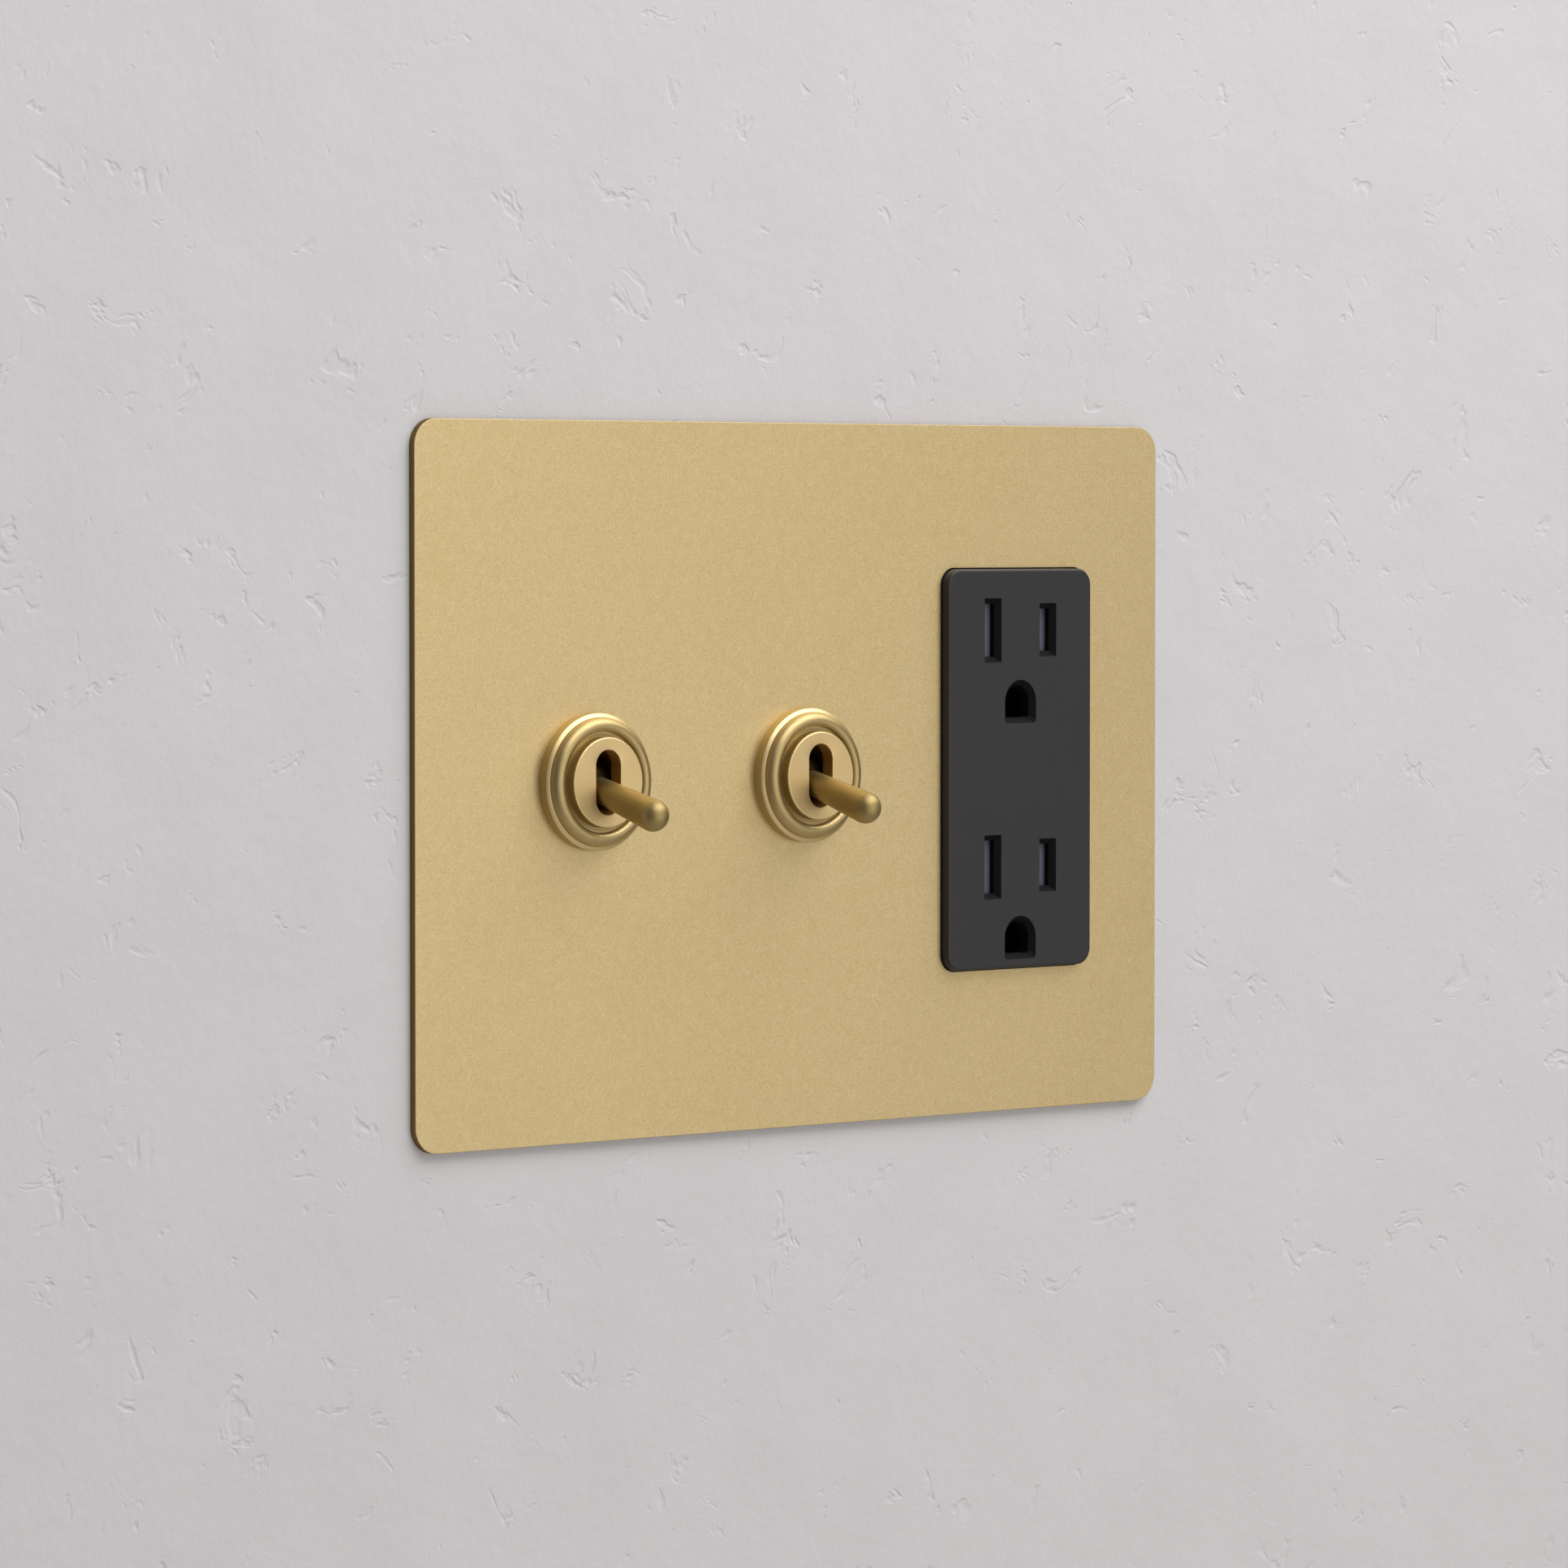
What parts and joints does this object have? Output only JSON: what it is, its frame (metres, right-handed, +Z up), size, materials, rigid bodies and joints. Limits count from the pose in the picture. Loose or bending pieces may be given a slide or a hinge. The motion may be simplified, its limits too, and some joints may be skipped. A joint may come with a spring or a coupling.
{
  "type": "toggle wall switch",
  "caption": "Brass wall plate with sprung toggle levers in domed round bushes and a shuttered socket outlet, made to cover a flush wall box.",
  "frame": {"origin": "centre of the plate's outline, on the rear face of the device straps, where they seat on the wall box", "axes": "+X across the plate towards the socket outlet, +Z up, -Y into the room"},
  "size_m": [0.162, 0.0542, 0.1142],
  "materials": {
    "satin_brass": "satin brushed",
    "turned_brass": "satin turned",
    "grey_thermoplastic": "fine matt texture",
    "black_nylon": "moulded",
    "zinc_steel": "zinc plated",
    "ground_steel": "ground",
    "spring_steel": "drawn wire",
    "acetal": "moulded",
    "shutter_plastic": "moulded",
    "contact_brass": "stamped",
    "copper_contact": "stamped copper alloy",
    "brass_screw": "machined",
    "nickel_screw": "nickel plated",
    "green_screw": "green chromate"
  },
  "bodies": {
    "root": {"body_screws": "zinc_steel", "box_screws": "zinc_steel", "frame_screws": "zinc_steel", "front_plate": "satin_brass", "ground_bus": "contact_brass", "ground_screw": "green_screw", "hot_bus": "contact_brass", "hot_screws": "brass_screw", "left_cover_screws": "zinc_steel", "left_housing": "black_nylon", "left_line_terminal": "contact_brass", "left_load_terminal": "contact_brass", "left_lock_nut": "zinc_steel", "left_pivot_pin": "ground_steel", "left_rear_cover": "black_nylon", "left_ring_nut": "turned_brass", "left_strap": "zinc_steel", "left_strap_screws": "zinc_steel", "left_terminal_screws": "brass_screw", "left_toggle_bush": "turned_brass", "lower_shutter_spring": "spring_steel", "middle_cover_screws": "zinc_steel", "middle_housing": "black_nylon", "middle_line_terminal": "contact_brass", "middle_load_terminal": "contact_brass", "middle_lock_nut": "zinc_steel", "middle_pivot_pin": "ground_steel", "middle_rear_cover": "black_nylon", "middle_ring_nut": "turned_brass", "middle_strap": "zinc_steel", "middle_strap_screws": "zinc_steel", "middle_terminal_screws": "brass_screw", "middle_toggle_bush": "turned_brass", "neutral_bus": "contact_brass", "neutral_screws": "nickel_screw", "outlet_body": "black_nylon", "outlet_face": "grey_thermoplastic", "outlet_strap": "zinc_steel", "plate_frame": "zinc_steel", "plate_studs": "contact_brass", "strap_rivets": "zinc_steel", "stud_grommets": "acetal", "upper_shutter_spring": "spring_steel"},
    "left_toggle": {"left_toggle": "turned_brass", "left_plunger_spring": "spring_steel"},
    "left_plunger": {"left_plunger": "acetal"},
    "left_rocker": {"left_contact_rocker": "copper_contact"},
    "middle_toggle": {"middle_toggle": "turned_brass", "middle_plunger_spring": "spring_steel"},
    "middle_plunger": {"middle_plunger": "acetal"},
    "middle_rocker": {"middle_contact_rocker": "copper_contact"},
    "upper_shutter": {"upper_shutter": "shutter_plastic"},
    "lower_shutter": {"lower_shutter": "shutter_plastic"}
  },
  "joints": [
    {"name": "left_toggle_hinge", "type": "hinge", "parent": "root", "child": "left_toggle", "pos_m": [-0.04514, -0.0017, 0], "axis": [-1, 0, 0], "range_deg": [0, 32]},
    {"name": "left_plunger_slide", "type": "slide", "parent": "left_toggle", "child": "left_plunger", "axis": [0, -0.9613, -0.2756], "range_m": [0, 0.0008], "stiffness_N_per_m": 400, "deforming": ["left_plunger_spring"]},
    {"name": "left_rocker_hinge", "type": "hinge", "parent": "root", "child": "left_rocker", "pos_m": [-0.04514, 0.0168, 0], "axis": [1, 0, 0], "range_deg": [0, 16]},
    {"name": "middle_toggle_hinge", "type": "hinge", "parent": "root", "child": "middle_toggle", "pos_m": [0.0002, -0.0017, 0], "axis": [-1, 0, 0], "range_deg": [0, 32]},
    {"name": "middle_plunger_slide", "type": "slide", "parent": "middle_toggle", "child": "middle_plunger", "axis": [0, -0.9613, -0.2756], "range_m": [0, 0.0008], "stiffness_N_per_m": 400, "deforming": ["middle_plunger_spring"]},
    {"name": "middle_rocker_hinge", "type": "hinge", "parent": "root", "child": "middle_rocker", "pos_m": [0.0002, 0.0168, 0], "axis": [1, 0, 0], "range_deg": [0, 16]},
    {"name": "upper_shutter_slide", "type": "slide", "parent": "root", "child": "upper_shutter", "axis": [1, 0, 0], "range_m": [0, 0.0028], "stiffness_N_per_m": 150, "springref_m": -0.001, "deforming": ["upper_shutter_spring"]},
    {"name": "lower_shutter_slide", "type": "slide", "parent": "root", "child": "lower_shutter", "axis": [1, 0, 0], "range_m": [0, 0.0028], "stiffness_N_per_m": 150, "springref_m": -0.001, "deforming": ["lower_shutter_spring"]}
  ],
  "couplings": [
    {"joint": "left_rocker_hinge", "follows": "left_toggle_hinge", "ratio": 0.5},
    {"joint": "middle_rocker_hinge", "follows": "middle_toggle_hinge", "ratio": 0.5}
  ]
}
